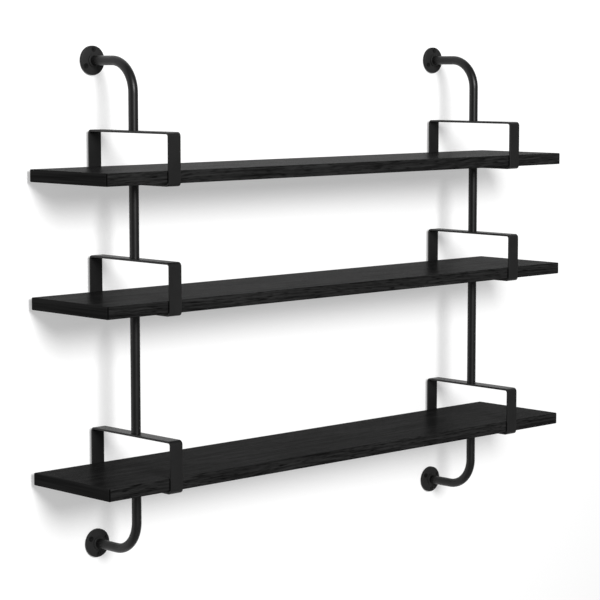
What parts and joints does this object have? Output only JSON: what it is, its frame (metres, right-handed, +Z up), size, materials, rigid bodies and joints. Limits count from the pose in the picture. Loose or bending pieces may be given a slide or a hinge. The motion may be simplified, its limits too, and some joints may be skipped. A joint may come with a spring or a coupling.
{
  "type": "pipe shelving unit",
  "caption": "Wall-hung pipe shelving unit: dark stained boards held in flat-bar loops between tube uprights that bend back to round wall flanges.",
  "frame": {"origin": "on the wall face, at the centre of the rectangle of the four outermost wall screws, midway between the flanges", "axes": "+X along the boards, to the right as seen from the room; +Y into the wall; +Z up"},
  "size_m": [0.95, 0.2175, 0.743],
  "materials": {
    "board_wood": "black stain, open grain, satin",
    "frame_steel": "black powder coat, satin",
    "flange_steel": "black powder coat, satin",
    "screw_steel": "black oxide, satin",
    "plug_steel": "bright zinc",
    "spacer_plastic": "matt"
  },
  "bodies": {
    "root": {"board_screws_bottom": "screw_steel", "board_screws_middle": "screw_steel", "board_screws_top": "screw_steel", "board_spacers_bottom": "spacer_plastic", "board_spacers_middle": "spacer_plastic", "board_spacers_top": "spacer_plastic", "joint_screws_bottom": "screw_steel", "joint_screws_middle": "screw_steel", "joint_screws_top": "screw_steel", "long_tube_left": "frame_steel", "long_tube_right": "frame_steel", "lower_bent_tube_left": "frame_steel", "lower_bent_tube_right": "frame_steel", "shelf_board_bottom": "board_wood", "shelf_board_middle": "board_wood", "shelf_board_top": "board_wood", "short_tube_left": "frame_steel", "short_tube_right": "frame_steel", "strap_bottom_left": "frame_steel", "strap_bottom_right": "frame_steel", "strap_middle_left": "frame_steel", "strap_middle_right": "frame_steel", "strap_top_left": "frame_steel", "strap_top_right": "frame_steel", "tube_plugs_bottom": "plug_steel", "tube_plugs_middle": "plug_steel", "tube_plugs_top": "plug_steel", "upper_bent_tube_left": "frame_steel", "upper_bent_tube_right": "frame_steel", "wall_flange_lower_left": "flange_steel", "wall_flange_lower_right": "flange_steel", "wall_flange_upper_left": "flange_steel", "wall_flange_upper_right": "flange_steel", "wall_screws_lower_left": "screw_steel", "wall_screws_lower_right": "screw_steel", "wall_screws_upper_left": "screw_steel", "wall_screws_upper_right": "screw_steel"}
  },
  "joints": []
}
